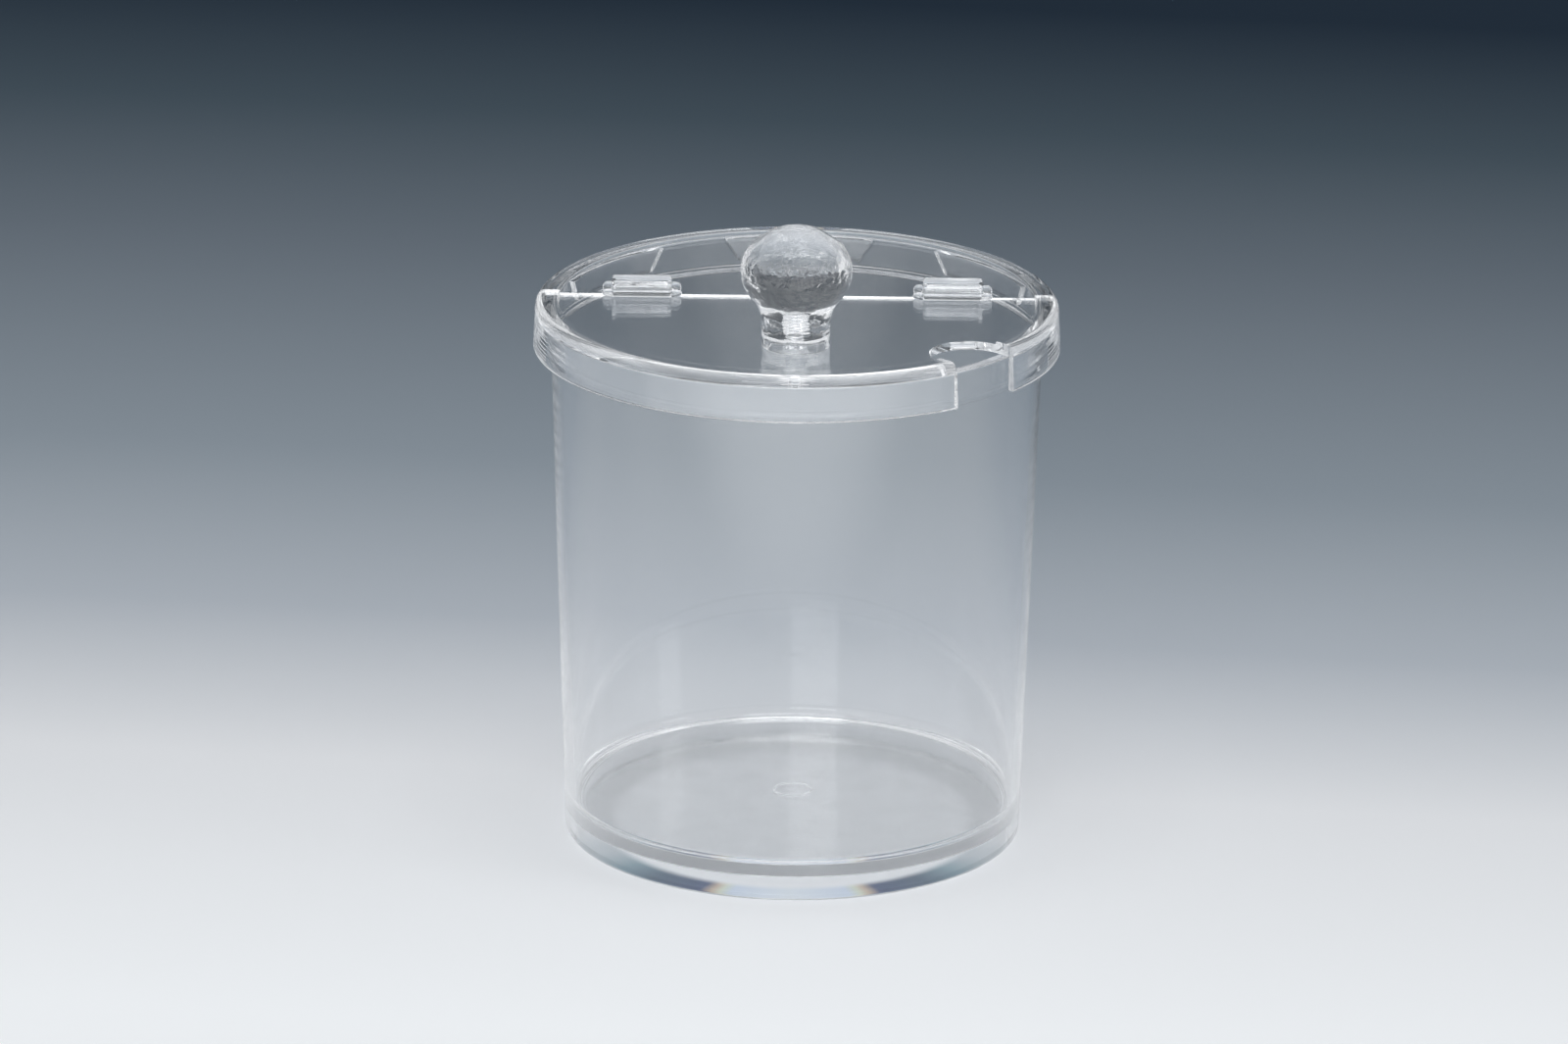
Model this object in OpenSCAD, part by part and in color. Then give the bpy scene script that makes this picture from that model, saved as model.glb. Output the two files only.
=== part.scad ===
// Round storage jar of clear plastic with a two-part lid.
// The rear half of the lid sits on the jar and is located by three lugs.
// The front flap swings up on two clip hinges, lifted by a screwed-on knob,
// and has a U-shaped notch for a spoon handle.
// Millimetres. The origin is the centre of the foot, +Z is up, the front is -Y.

/* [Jar] */
// Height of the jar from the table to its rim
jar_h = 136; // [90:1:200]
// Outside diameter of the collar round the mouth
collar_d = 127.2; // [100:0.2:170]
// Height of the collar
collar_h = 8.8; // [8:0.1:14]
// Step in radius from the collar down to the body
collar_step = 2.1; // [1:0.1:3.5]
// Height of the collar's sloped underside
collar_under = 0.7; // [0.3:0.1:1.5]
// How much the body's radius shrinks from the collar to the foot
body_taper = 3.8; // [0:0.1:8]
// Thickness of the side wall at the floor
wall = 2.2; // [1.6:0.1:3.2]
// Thickness of the side wall under the collar
neck_wall = 1.3; // [1:0.1:2.4]
// Thickness of the floor
floor_t = 2.7; // [2:0.1:5]
// Depth of the hollow under the floor
foot_h = 5.9; // [2:0.1:8]
// Width of the ring that the jar stands on
foot_w = 3.4; // [2.4:0.1:5]
// Radius of the inside corner between floor and wall
floor_fillet = 3; // [1:0.1:6]
// Radius of the rounded outer edge of the foot
foot_edge = 1.2; // [0.4:0.1:2]
// Radius of the rounded edges of the rim
rim_edge = 0.6; // [0.2:0.1:0.8]
// Diameter of the moulding ring in the middle of the floor
gate_ring_d = 9; // [5:0.5:20]
// Height and width of that ring
gate_ring_w = 0.4; // [0.2:0.1:0.8]

/* [Lid] */
// Thickness of the lid's plate
plate_t = 2.2; // [2:0.1:3.4]
// Height of the raised border above the plate
border_h = 0.8; // [0.3:0.1:1.6]
// Width of the raised border
border_w = 5.7; // [4:0.1:9]
// Gap between the lid's skirt and the collar
skirt_clear = 0.5; // [0.2:0.1:0.9]
// Thickness of the skirt at its lower edge
skirt_wall = 1.9; // [1.4:0.1:3]
// How much thinner the skirt is at its top
skirt_draft = 0.6; // [0:0.1:0.8]
// How far the skirt hangs below the rim
skirt_drop = 8.7; // [6:0.1:12]
// Radius of the lid's rounded outer edge
lid_edge = 2.3; // [1:0.1:2.8]

/* [Split and hinges] */
// Distance of the split line behind the centre
split_back = 5.5; // [0:0.5:12]
// Gap between the two halves of the lid
split_gap = 0.3; // [0.1:0.05:0.4]
// Distance of each hinge from the middle
hinge_x = 38.9; // [28:0.1:42]
// Height of the hinge pin's centre above the plate
hinge_rise = 1.8; // [1.6:0.1:2.2]
// Diameter of the clip barrel
barrel_d = 6.3; // [5.8:0.1:6.6]
// Length of the clip barrel
barrel_len = 14.9; // [10:0.1:18]
// Radius of the rounded ends of the clip barrel
barrel_edge = 0.7; // [0.2:0.1:1]
// Diameter of the hinge pin
pin_d = 2; // [1.6:0.1:2.4]
// Gap all round the pin in the clip's bore
pin_clear = 0.08; // [0.04:0.01:0.1]
// Gap between the clip and the ears beside it
end_clear = 0.15; // [0.1:0.01:0.3]
// Gap between the clip and the hollow in the flap below it
relief_clear = 0.25; // [0.15:0.01:0.3]
// Diameter of the ears that hold the pin
ear_d = 2.8; // [2.6:0.1:3]
// Length of each ear along the pin
ear_len = 2.3; // [1.6:0.1:3]
// Radius of the domed foot in front of each ear
ear_foot = 2.4; // [1.8:0.1:3]
// Width of the slit between the clip's two lips
slit_w = 0.35; // [0.2:0.05:0.6]
// Angle of the slit above the front of the barrel
slit_angle = 40; // [20:1:60]
// Diameter of the rounded corners at each end of the slit
slit_end_d = 1.1; // [0.7:0.1:1.4]
// Distance of those corners' centres from the barrel's ends
slit_end_in = 0.45; // [0.2:0.05:0.8]

/* [Locating lugs] */
// How far the lugs reach below the rim
lug_h = 5.8; // [3:0.1:6.2]
// Thickness of the lugs
lug_t = 1.6; // [1.2:0.1:2.4]
// Gap between the lugs and the inside of the rim
lug_clear = 0.5; // [0.45:0.05:1]
// Width of a lug at the lid's plate
lug_w = 38; // [20:0.5:42]
// Width of a lug at its lower edge
lug_tip_w = 31; // [14:0.5:36]
// Angle between neighbouring lugs
lug_step = 54.8; // [50:0.2:58]

/* [Spoon notch] */
// Width of the spoon notch
notch_w = 20; // [12:0.5:26]
// Depth of the notch from the lid's outer edge
notch_depth = 16.5; // [15:0.5:24]
// Angle of the notch to the right of the front
notch_angle = 46; // [36:1:60]

/* [Knob] */
// Distance of the knob in front of the lid's centre
knob_forward = 37; // [25:0.5:42]
// Height of the knob's widest point above the plate
knob_belly_h = 19.4; // [17:0.1:22]
// Height of the knob's crown above its widest point
knob_crown_h = 11.1; // [10.6:0.1:13]
// Radius of the knob's side above its widest point
knob_round_r = 10; // [8:0.1:10.4]
// Diameter of the knob at its widest point
knob_d = 27.5; // [24:0.1:30]
// Diameter of the knob's stem
knob_stem_d = 17; // [15:0.1:19]
// Height at which the stem starts to flare
knob_flare_h = 5.7; // [4:0.1:7]
// Radius of the knob's rounded lower edge
knob_edge = 0.6; // [0.2:0.1:0.9]
// Wall of the hollow lower end of the stem
knob_wall = 1.2; // [1:0.1:1.8]
// Height of the hollow inside the stem
knob_hollow_h = 3.4; // [2:0.1:4.5]
// Number of facets in each row round the crown
facet_n = 9; // [6:1:14]
// Depth of the crown's facets below the round form
facet_cut = 0.6; // [0.2:0.05:0.9]

/* [Knob stud] */
// Diameter of the plain boss under the knob
boss_d = 6; // [5.4:0.1:8]
// Outside diameter of the threaded stud
stud_d = 4.8; // [4:0.1:5.2]
// Height of the stud above the plate
stud_h = 11.8; // [8:0.1:13]
// Gap between the stud and the knob's bore
stud_clear = 0.05; // [0.02:0.01:0.1]
// Room left above the stud in the knob's bore
bore_room = 0.7; // [0.3:0.1:1.5]
// Height of the cone at the end of the bore
bore_tip = 1.2; // [0.6:0.1:2.4]
// Diameter of the core hole under the boss
core_d = 3; // [2:0.1:3.2]
// Height of the core hole, from under the plate
core_h = 6; // [3:0.1:8]

/* [Hidden] */
$fn = 96;
big = 400;
eps = 0.01;
clear_plastic = [0.86, 0.91, 0.94, 0.4];
knob_plastic = [0.9, 0.94, 0.97, 0.5];

// Jar radii and levels
collar_r = collar_d / 2;
body_r = collar_r - collar_step;
foot_r = body_r - body_taper;
collar_z = jar_h - collar_h;
under_z = collar_z - collar_under;
floor_z = foot_h + floor_t;
foot_in_r = foot_r - wall;
draft = (body_r - neck_wall - foot_in_r) / (under_z - floor_z);
rim_in_r = foot_in_r + draft * (jar_h - floor_z);
foot_well_r = foot_r - foot_w;
gate_ring_r = gate_ring_d / 2;

// Lid radii and levels
plate_z = jar_h;
lid_z = plate_z + plate_t;
lid_top_z = lid_z + border_h;
skirt_in_r = collar_r + skirt_clear;
skirt_r = skirt_in_r + skirt_wall;
lid_r = skirt_r - skirt_draft;
skirt_z = jar_h - skirt_drop;
border_in_r = lid_r - border_w;
border_round = border_h / 2;

// Hinge axis
axis_z = lid_z + hinge_rise;
barrel_r = barrel_d / 2;
relief_r = barrel_r + relief_clear;
bore_r = pin_d / 2 + pin_clear;
ear_r = ear_d / 2;
ear_x = barrel_len / 2 + end_clear;
slit_end_x = barrel_len / 2 - slit_end_in;
half_gap = split_gap / 2;

// Knob form: two equal arcs flare from the stem to the belly, a third rounds
// the side above it and a fourth spans the crown, each tangent to the last
stem_r = knob_stem_d / 2;
belly_r = knob_d / 2;
flare_out = belly_r - stem_r;
flare_up = knob_belly_h - knob_flare_h;
flare_r = (pow(flare_out, 2) + pow(flare_up, 2)) / (4 * flare_out);
flare_x = belly_r - flare_r;
round_x = belly_r - knob_round_r;
knob_h = knob_belly_h + knob_crown_h;
crown_r = (pow(round_x, 2) + pow(knob_crown_h, 2) - pow(knob_round_r, 2))
    / (2 * (knob_crown_h - knob_round_r));
crown_x = round_x * crown_r / (crown_r - knob_round_r);
crown_from = atan2(crown_r - knob_crown_h, round_x);
bore_h = stud_h + bore_room;
crown_tilt = 57;
girdle_tilt = 33;
facet_turn = 20;

// A square corner of material left outside an arc of radius r
module corner(r) {
    difference() {
        translate([-eps, -eps]) square(r + eps);
        translate([r, r]) circle(r);
    }
}

// Profile of the jar's outside, as a solid down to the axis
module jar_outside() {
    difference() {
        polygon([
            [0, 0], [foot_r, 0], [body_r, under_z],
            [collar_r, collar_z], [collar_r, jar_h], [0, jar_h]
        ]);
        translate([foot_r, 0]) mirror([1, 0]) corner(foot_edge);
        translate([collar_r, jar_h]) mirror([1, 0]) mirror([0, 1]) corner(rim_edge);
    }
}

// Profile of the space inside the jar
module jar_inside() {
    difference() {
        polygon([
            [0, floor_z], [foot_in_r, floor_z],
            [rim_in_r, jar_h], [rim_in_r, jar_h + eps], [0, jar_h + eps]
        ]);
        translate([foot_in_r, floor_z]) mirror([1, 0]) corner(floor_fillet);
    }
}

// Profile of the hollow under the floor
module foot_well() {
    difference() {
        translate([0, -eps]) square([foot_well_r, foot_h + eps]);
        translate([foot_well_r, foot_h]) mirror([1, 0]) mirror([0, 1]) corner(foot_edge);
    }
}

module jar() {
    color(clear_plastic) {
        rotate_extrude() difference() {
            jar_outside();
            jar_inside();
            foot_well();
            translate([rim_in_r, jar_h]) mirror([0, 1]) corner(rim_edge);
        }
        rotate_extrude() translate([gate_ring_r, floor_z - eps])
            square([gate_ring_w, gate_ring_w]);
    }
}

// Profile of the whole lid: plate, raised border and skirt
module lid_profile() {
    difference() {
        union() {
            translate([0, plate_z]) square([skirt_in_r + eps, plate_t]);
            translate([border_in_r + border_round, lid_z - eps])
                square([lid_r - border_in_r - border_round, border_h + eps]);
            translate([border_in_r + border_round, lid_z + border_round])
                circle(border_round);
            polygon([
                [skirt_in_r, skirt_z], [skirt_r, skirt_z],
                [lid_r, lid_top_z], [skirt_in_r, lid_top_z]
            ]);
        }
        translate([lid_r, lid_top_z]) mirror([1, 0]) mirror([0, 1]) corner(lid_edge);
    }
}

// The part of the lid on one side of the split line, side being 1 behind it
module lid_half(side) {
    intersection() {
        rotate_extrude() lid_profile();
        translate([-big / 2, split_back + side * half_gap - (side < 0 ? big : 0), 0])
            cube([big, big, big]);
    }
}

// Places its children at each hinge's centre, on the pin's axis
module at_hinges() {
    for (side = [-1, 1])
        translate([side * hinge_x, split_back, axis_z]) children();
}

// A round bar along the hinge axis, centred on it
module axis_bar(r, length) {
    rotate([0, 90, 0]) cylinder(r = r, h = length, center = true);
}

// Clip barrel with rounded ends and the web that joins it to the rear plate
module clip_body() {
    rotate([0, 90, 0]) rotate_extrude() difference() {
        translate([0, -barrel_len / 2]) square([barrel_r, barrel_len]);
        for (flip = [0, 1]) mirror([0, flip])
            translate([barrel_r, barrel_len / 2]) mirror([1, 0]) mirror([0, 1])
                corner(barrel_edge);
    }
    translate([barrel_edge - barrel_len / 2, half_gap, -hinge_rise - plate_t])
        cube([barrel_len - 2 * barrel_edge, barrel_r - half_gap, hinge_rise + plate_t]);
}

// Bore for the pin, and the slit between the two lips with its rounded corners
module clip_cuts() {
    axis_bar(bore_r, barrel_len + 2);
    rotate([-slit_angle, 0, 0]) {
        translate([-big / 2, -barrel_r - 1, -slit_w / 2])
            cube([big, barrel_r + 1, slit_w]);
        for (side = [-1, 1])
            translate([side * slit_end_x, 0, 0]) rotate([90, 0, 0])
                cylinder(d = slit_end_d, h = barrel_r + 1);
    }
}

// One tapered locating lug, at the back, following the inside of the rim
module lug() {
    lug_r = rim_in_r - lug_clear;
    intersection() {
        translate([0, 0, plate_z - lug_h]) difference() {
            cylinder(r = lug_r, h = lug_h + eps);
            translate([0, 0, -1]) cylinder(r = lug_r - lug_t, h = lug_h + 2);
        }
        rotate([90, 0, 0]) translate([0, 0, -big]) linear_extrude(big)
            polygon([
                [-lug_tip_w / 2, plate_z - lug_h], [lug_tip_w / 2, plate_z - lug_h],
                [lug_w / 2, plate_z + eps], [-lug_w / 2, plate_z + eps]
            ]);
    }
}

module rear_lid() {
    color(clear_plastic) difference() {
        union() {
            lid_half(1);
            for (turn = [-1:1]) rotate([0, 0, turn * lug_step]) lug();
            at_hinges() clip_body();
        }
        at_hinges() clip_cuts();
    }
}

// Spoon notch: a slot with a round inner end, cut in from the lid's edge
module notch() {
    notch_r = skirt_r - notch_depth + notch_w / 2;
    rotate([0, 0, notch_angle - 90]) translate([0, 0, skirt_z - 1]) linear_extrude(big) {
        translate([notch_r, 0]) circle(d = notch_w);
        translate([notch_r, -notch_w / 2]) square([big, notch_w]);
    }
}

// One ear: a domed boss round the pin's end and a domed foot on the plate
module ear() {
    intersection() {
        union() {
            rotate([0, 90, 0]) cylinder(r = ear_r, h = ear_x + ear_len - ear_r);
            translate([ear_x + ear_len - ear_r, 0, 0]) sphere(r = ear_r);
            intersection() {
                translate([ear_x, -half_gap, -hinge_rise]) sphere(r = ear_foot);
                translate([0, -half_gap - big, -hinge_rise - plate_t / 2])
                    cube([big, big, big]);
            }
        }
        translate([ear_x, -big / 2, -big / 2]) cube(big);
    }
}

// Pin and ears of one hinge
module hinge_pin() {
    axis_bar(pin_d / 2, 2 * ear_x + ear_len);
    for (flip = [0, 1]) mirror([flip, 0, 0]) ear();
}

// Boss and stud that carry the knob
module knob_stud() {
    translate([0, -knob_forward, lid_z - plate_t / 2]) {
        cylinder(d = boss_d, h = knob_hollow_h - stud_clear + plate_t / 2);
        cylinder(d = stud_d, h = stud_h + plate_t / 2);
    }
}

module front_flap() {
    color(clear_plastic) difference() {
        union() {
            difference() {
                lid_half(-1);
                at_hinges() axis_bar(relief_r, 2 * ear_x);
            }
            at_hinges() hinge_pin();
            knob_stud();
        }
        notch();
        translate([0, -knob_forward, plate_z - 1]) cylinder(d = core_d, h = core_h + 1);
    }
}

// Profile of the knob before its facets are cut
module knob_profile() {
    half_r = (stem_r + belly_r) / 2;
    half_h = (knob_flare_h + knob_belly_h) / 2;
    difference() {
        square([stem_r, knob_flare_h]);
        translate([stem_r, 0]) mirror([1, 0]) corner(knob_edge);
    }
    difference() {
        translate([0, knob_flare_h - eps]) square([half_r, half_h - knob_flare_h + eps]);
        translate([stem_r + flare_r, knob_flare_h]) circle(flare_r);
    }
    intersection() {
        union() {
            translate([flare_x, knob_belly_h]) circle(flare_r);
            translate([0, half_h]) square([max(flare_x, eps), knob_belly_h - half_h]);
        }
        translate([0, half_h - eps]) square([belly_r, knob_belly_h - half_h + eps]);
    }
    intersection() {
        translate([round_x, knob_belly_h]) circle(knob_round_r);
        translate([crown_x, knob_belly_h]) square([belly_r, knob_crown_h]);
    }
    intersection() {
        translate([0, knob_h - crown_r]) circle(crown_r);
        translate([0, knob_belly_h]) square([crown_x, knob_crown_h]);
    }
}

// Distance from the belly's centre to the round form along a facet's normal
function facet_reach(tilt) = tilt < crown_from
    ? round_x * cos(tilt) + knob_round_r
    : crown_r - (crown_r - knob_crown_h) * sin(tilt);

// One row of flat facets, whose normals point up by tilt
module facet_row(tilt, turn) {
    for (i = [0:facet_n - 1])
        rotate([0, 0, turn + i * 360 / facet_n]) translate([0, 0, knob_belly_h])
            rotate([0, -tilt, 0]) translate([facet_reach(tilt) - facet_cut, -big / 2, -big / 2])
                cube(big);
}

// Hollow in the stem's lower end and the blind bore above it
module knob_cavity() {
    rotate_extrude() difference() {
        translate([0, -eps]) square([stem_r - knob_wall, knob_hollow_h + eps]);
        translate([stem_r - knob_wall, knob_hollow_h]) mirror([1, 0]) mirror([0, 1])
            corner(knob_wall);
    }
    cylinder(d = stud_d + 2 * stud_clear, h = bore_h);
    translate([0, 0, bore_h])
        cylinder(d1 = stud_d + 2 * stud_clear, d2 = 0, h = bore_tip);
}

module knob() {
    color(knob_plastic) translate([0, -knob_forward, lid_z]) difference() {
        rotate_extrude() knob_profile();
        facet_row(crown_tilt, facet_turn);
        facet_row(girdle_tilt, facet_turn + 180 / facet_n);
        knob_cavity();
    }
}

jar();
rear_lid();
front_flap();
knob();
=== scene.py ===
import logging
import math
from collections.abc import Sequence
from dataclasses import dataclass
from enum import Enum

import bmesh
import bpy
import numpy as np
from mathutils import Matrix, Vector


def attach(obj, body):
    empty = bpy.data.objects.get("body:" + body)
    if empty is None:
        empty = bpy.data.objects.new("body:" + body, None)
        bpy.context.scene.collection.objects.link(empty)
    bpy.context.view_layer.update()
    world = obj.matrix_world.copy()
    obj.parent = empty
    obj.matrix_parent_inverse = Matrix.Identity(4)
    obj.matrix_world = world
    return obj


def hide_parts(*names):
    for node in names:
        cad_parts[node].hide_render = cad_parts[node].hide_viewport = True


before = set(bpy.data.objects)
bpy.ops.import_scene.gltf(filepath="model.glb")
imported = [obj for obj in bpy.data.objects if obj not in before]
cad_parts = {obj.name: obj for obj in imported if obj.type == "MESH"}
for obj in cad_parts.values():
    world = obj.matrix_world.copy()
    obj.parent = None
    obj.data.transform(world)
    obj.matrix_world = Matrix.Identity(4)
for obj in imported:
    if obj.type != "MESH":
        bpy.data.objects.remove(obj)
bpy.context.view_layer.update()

LOG = logging.getLogger("storage_jar")
MM = 0.001
PHOTO_WIDTH = 1600
Point = tuple[float, float]
Colour = tuple[float, float, float]
Term = "Shade | float | tuple"


class Cut(Enum):
    """What a carving tool does to the piece it is used on."""

    ADD = "UNION"
    REMOVE = "DIFFERENCE"
    KEEP = "INTERSECT"


class Half(Enum):
    """The two halves of the lid, by the side of the split line they lie on."""

    REAR = 1
    FRONT = -1


class Shade:
    """One output of a node, which can be used in ordinary sums."""

    def __init__(self, recipe: "Recipe", socket: bpy.types.NodeSocket) -> None:
        """Keeps the socket and the recipe that it belongs to."""
        self.recipe = recipe
        self.socket = socket

    def _sum(self, operation: str, first: Term, second: Term) -> "Shade":
        """Adds one Math node to the recipe.

        Args:
            operation: The Math node's operation.
            first: Its first value.
            second: Its second value.

        Returns:
            The node's result.
        """
        return self.recipe.node("ShaderNodeMath", {"operation": operation}, {0: first, 1: second})

    def __add__(self, other: Term) -> "Shade":
        """This value plus another."""
        return self._sum("ADD", self, other)

    def __sub__(self, other: Term) -> "Shade":
        """This value less another."""
        return self._sum("SUBTRACT", self, other)

    def __mul__(self, other: Term) -> "Shade":
        """This value times another."""
        return self._sum("MULTIPLY", self, other)

    def __truediv__(self, other: Term) -> "Shade":
        """This value over another."""
        return self._sum("DIVIDE", self, other)

    def __radd__(self, other: Term) -> "Shade":
        """Another value plus this one."""
        return self._sum("ADD", other, self)

    def __rsub__(self, other: Term) -> "Shade":
        """Another value less this one."""
        return self._sum("SUBTRACT", other, self)

    def __rmul__(self, other: Term) -> "Shade":
        """Another value times this one."""
        return self._sum("MULTIPLY", other, self)

    def __rtruediv__(self, other: Term) -> "Shade":
        """Another value over this one."""
        return self._sum("DIVIDE", other, self)

    def stretch(self, low: float, high: float) -> "Shade":
        """Nought at low, one at high and eased in between.

        Args:
            low: The value that becomes nought.
            high: The value that becomes one, which may be the lower of the two.

        Returns:
            The eased value.
        """
        if low > high:
            return 1.0 - self.stretch(high, low)
        settings = {"interpolation_type": "SMOOTHSTEP"}
        return self.recipe.node("ShaderNodeMapRange", settings, {"Value": self, 1: low, 2: high})


class Recipe:
    """The nodes of one material or of the world."""

    def __init__(self, tree: bpy.types.NodeTree) -> None:
        """Starts from an empty tree."""
        self.tree = tree
        tree.nodes.clear()

    def node(self, kind: str, settings: dict | None = None, values: dict | None = None,
             out: int | str = 0) -> Shade:
        """Adds a node.

        Args:
            kind: The node's type.
            settings: Its own settings, set first; stops fills a colour ramp.
            values: What its input sockets hold or are linked to, by name or number.
            out: Which of its outputs is wanted.

        Returns:
            That output.
        """
        made = self.tree.nodes.new(kind)
        for name, setting in (settings or {}).items():
            if name == "stops":
                self._fill_ramp(made.color_ramp, setting)
            else:
                setattr(made, name, setting)
        for key, value in (values or {}).items():
            if isinstance(value, Shade):
                self.tree.links.new(value.socket, made.inputs[key])
            else:
                made.inputs[key].default_value = value
        return Shade(self, made.outputs[out])

    @staticmethod
    def _fill_ramp(ramp: bpy.types.ColorRamp, stops: Sequence[tuple[float, Colour]]) -> None:
        """Gives a colour ramp its stops.

        Args:
            ramp: The ramp.
            stops: Positions from 0 to 1 with their colours.
        """
        while len(ramp.elements) < len(stops):
            ramp.elements.new(1.0)
        for element, (position, colour) in zip(ramp.elements, stops):
            element.position = position
            element.color = (*colour, 1.0)

    def place(self) -> Shade:
        """The point being shaded, in metres in the piece's own frame."""
        return self.node("ShaderNodeTexCoord", out="Object")

    def part(self, vector: Shade, axis: str) -> Shade:
        """One number of a vector: X, Y or Z."""
        return self.node("ShaderNodeSeparateXYZ", values={0: vector}, out=axis)

    def out(self, vector: Shade) -> Shade:
        """Distance from the upright axis."""
        flat = self.scaled(vector, (1.0, 1.0, 0.0))
        return self.node("ShaderNodeVectorMath", {"operation": "LENGTH"}, {0: flat}, out="Value")

    def scaled(self, vector: Shade, factors: tuple[float, float, float]) -> Shade:
        """A vector with each of its numbers times a factor."""
        return self.node("ShaderNodeVectorMath", {"operation": "MULTIPLY"}, {0: vector, 1: factors})

    def noise(self, vector: Shade, scale: float, detail: float = 2.0) -> Shade:
        """Soft noise between about 0.2 and 0.8, of a scale in turns per metre."""
        return self.node("ShaderNodeTexNoise", values={"Vector": vector, "Scale": scale, "Detail": detail})

    def mixed(self, share: Shade, first: Term, second: Term) -> Shade:
        """Mixes two colours, with share of the second."""
        return self.node("ShaderNodeMix", {"data_type": "RGBA"}, {0: share, 6: first, 7: second}, out=2)

    def grey(self, value: Shade) -> Shade:
        """A value as a grey colour."""
        return self.node("ShaderNodeCombineColor", values={0: value, 1: value, 2: value})

    def bump(self, height: Shade, distance: float, under: Shade | None = None) -> Shade:
        """Turns a height into a normal.

        Args:
            height: The height, where one stands for the whole distance.
            distance: How far a height of one stands proud, in metres.
            under: A normal to add the bump to.

        Returns:
            The bumped normal.
        """
        values = {"Height": height, "Distance": distance}
        if under:
            values["Normal"] = under
        return self.node("ShaderNodeBump", values=values)

    def finish(self, kind: str, surface: Shade) -> None:
        """Links a shader to the Surface of the tree's output node, whose type is kind."""
        self.tree.links.new(surface.socket, self.tree.nodes.new(kind).inputs["Surface"])


@dataclass(frozen=True)
class ClearPlastic:
    """Polished clear moulded plastic with the marks of handling, all lengths in metres.

    Scuffs are fine marks that gather in patches. Waves are the faint unevenness of every
    moulded face. Wrinkles crease what lies above a height, and frost dulls a low, round face.
    """

    name: str
    tint: Colour = (0.985, 0.99, 0.995)
    ior: float = 1.58
    clarity: float = 1.0
    scuff_gloss: float = 0.16
    scuff_depth: float = 0.000004
    scuff_scale: float = 900.0
    scuff_detail: float = 4.0
    scuff_drawn: Colour = (1.0, 1.0, 0.25)
    scuff_levels: Point = (0.66, 0.78)
    patch_scale: float = 28.0
    patch_levels: Point = (0.5, 0.68)
    wave_depth: float = 0.00004
    wave_scale: float = 22.0
    wrinkle_depth: float = 0.0
    wrinkle_scale: float = 260.0
    wrinkle_detail: float = 3.0
    wrinkle_twist: float = 1.4
    wrinkle_above: float = 0.0
    wrinkle_fade: float = 0.002
    frost: float = 0.0
    frost_scale: float = 120.0
    frost_detail: float = 3.0
    frost_radius: float = 0.0535
    frost_below: float = 0.0092
    frost_fade: float = 0.0005

    def _marks(self, recipe: Recipe, place: Shade) -> Shade:
        """Where the plastic is scuffed: one on a scuff and nought elsewhere.

        Args:
            recipe: The material's recipe.
            place: The point being shaded.

        Returns:
            The marks.
        """
        drawn = recipe.scaled(place, self.scuff_drawn)
        scuff = recipe.noise(drawn, self.scuff_scale, self.scuff_detail).stretch(*self.scuff_levels)
        return scuff * recipe.noise(place, self.patch_scale).stretch(*self.patch_levels)

    def _roughness(self, recipe: Recipe, place: Shade, marks: Shade) -> Shade:
        """Roughness of the polished face with its marks and its frost.

        Args:
            recipe: The material's recipe.
            place: The point being shaded.
            marks: Where it is scuffed.

        Returns:
            The roughness.
        """
        rough = marks * self.scuff_gloss
        if not self.frost:
            return rough
        low = recipe.part(place, "Z").stretch(self.frost_below + self.frost_fade, self.frost_below)
        within = recipe.out(place).stretch(self.frost_radius + self.frost_fade, self.frost_radius)
        return rough + low * within * (
            recipe.noise(place, self.frost_scale, self.frost_detail) * self.frost)

    def _normal(self, recipe: Recipe, place: Shade, marks: Shade) -> Shade:
        """Normal of the face with its waves, wrinkles and marks.

        Args:
            recipe: The material's recipe.
            place: The point being shaded.
            marks: Where it is scuffed.

        Returns:
            The normal.
        """
        normal = recipe.bump(recipe.noise(place, self.wave_scale), self.wave_depth)
        if self.wrinkle_depth:
            above, fade = self.wrinkle_above, self.wrinkle_fade
            where = recipe.part(place, "Z").stretch(above - fade, above + fade)
            bend = recipe.node("ShaderNodeTexNoise", values={
                "Vector": place, "Scale": self.wrinkle_scale, "Detail": self.wrinkle_detail,
                "Distortion": self.wrinkle_twist})
            normal = recipe.bump(bend * where, self.wrinkle_depth, normal)
        return recipe.bump(marks, self.scuff_depth, normal)

    def material(self) -> bpy.types.Material:
        """Builds the material.

        Returns:
            The material, ready to be given to a piece.
        """
        material = bpy.data.materials.new(self.name)
        material.use_nodes = True
        recipe = Recipe(material.node_tree)
        place = recipe.place()
        marks = self._marks(recipe, place)
        surface = recipe.node("ShaderNodeBsdfPrincipled", values={
            "Base Color": (*self.tint, 1.0), "Roughness": self._roughness(recipe, place, marks),
            "IOR": self.ior, "Transmission Weight": self.clarity,
            "Normal": self._normal(recipe, place, marks)})
        recipe.finish("ShaderNodeOutputMaterial", surface)
        return material


@dataclass(frozen=True)
class Corner:
    """A corner of a turned profile, in millimetres, and the radius of its rounding."""

    r: float
    z: float
    radius: float = 0.0


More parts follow.
